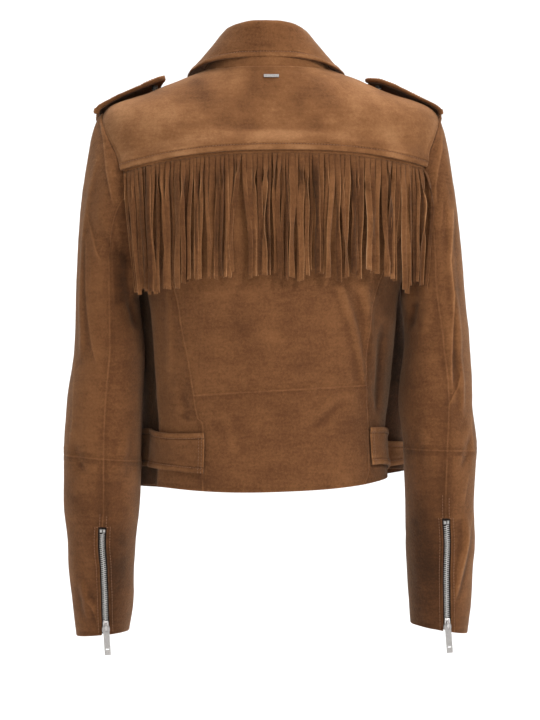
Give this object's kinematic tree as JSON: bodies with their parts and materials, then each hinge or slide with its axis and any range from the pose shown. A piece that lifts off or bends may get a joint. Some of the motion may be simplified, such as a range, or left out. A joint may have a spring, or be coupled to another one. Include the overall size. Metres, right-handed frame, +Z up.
{
  "type": "fringed suede biker jacket in worn form",
  "caption": "Worn-form tan suede biker jacket seen from behind, with a long fringe under the back yoke, belts, epaulettes and zipped cuffs.",
  "frame": {"origin": "centre of the neck opening, level with the seam where the collar stand meets the back yoke", "axes": "+Z up, along the jacket's length; +Y towards the wearer's front; +X towards the wearer's right"},
  "size_m": [0.5032, 0.2633, 0.7667],
  "materials": {
    "suede": "matt brushed nap",
    "suede_light": "matt brushed nap, lightest where worn",
    "suede_shade": "matt brushed nap",
    "fringe_suede": "matt, both faces nap",
    "nickel": "polished nickel plate",
    "zip": "woven tape with nickel teeth"
  },
  "bodies": {
    "jacket": {"yoke": "suede_light", "back_upper_center": "suede", "back_lower_center": "suede", "back_side_left": "suede_shade", "back_side_right": "suede_shade", "front_left": "suede_shade", "front_right": "suede_shade", "sleeve_top_upper_left": "suede", "sleeve_under_upper_left": "suede", "sleeve_top_lower_left": "suede_shade", "sleeve_under_lower_left": "suede_shade", "sleeve_top_upper_right": "suede", "sleeve_under_upper_right": "suede", "sleeve_top_lower_right": "suede_shade", "sleeve_under_lower_right": "suede_shade", "collar_stand": "suede", "collar": "suede", "fringe": "fringe_suede", "epaulette_left": "suede", "epaulette_right": "suede", "belt_left": "suede", "belt_right": "suede", "bar_plate": "nickel", "epaulette_snap_left": "nickel", "epaulette_snap_right": "nickel", "buckle": "nickel", "cuff_zip_left_slider": "nickel", "cuff_zip_right_slider": "nickel", "front_zip_left": "zip", "front_zip_right": "zip", "cuff_zip_left": "zip", "cuff_zip_right": "zip"},
    "left_cuff_pull": {"cuff_zip_left_pull": "nickel"},
    "right_cuff_pull": {"cuff_zip_right_pull": "nickel"}
  },
  "joints": [
    {"name": "left_cuff_pull_swing", "type": "hinge", "parent": "jacket", "child": "left_cuff_pull", "pos_m": [-0.19652, -0.02191, -0.67711], "axis": [-0.9832, -0.1696, -0.0672], "range_deg": [0, 130]},
    {"name": "right_cuff_pull_swing", "type": "hinge", "parent": "jacket", "child": "right_cuff_pull", "pos_m": [0.21801, -0.02168, -0.67433], "axis": [-0.9887, -0.127, -0.0791], "range_deg": [0, 130]}
  ]
}
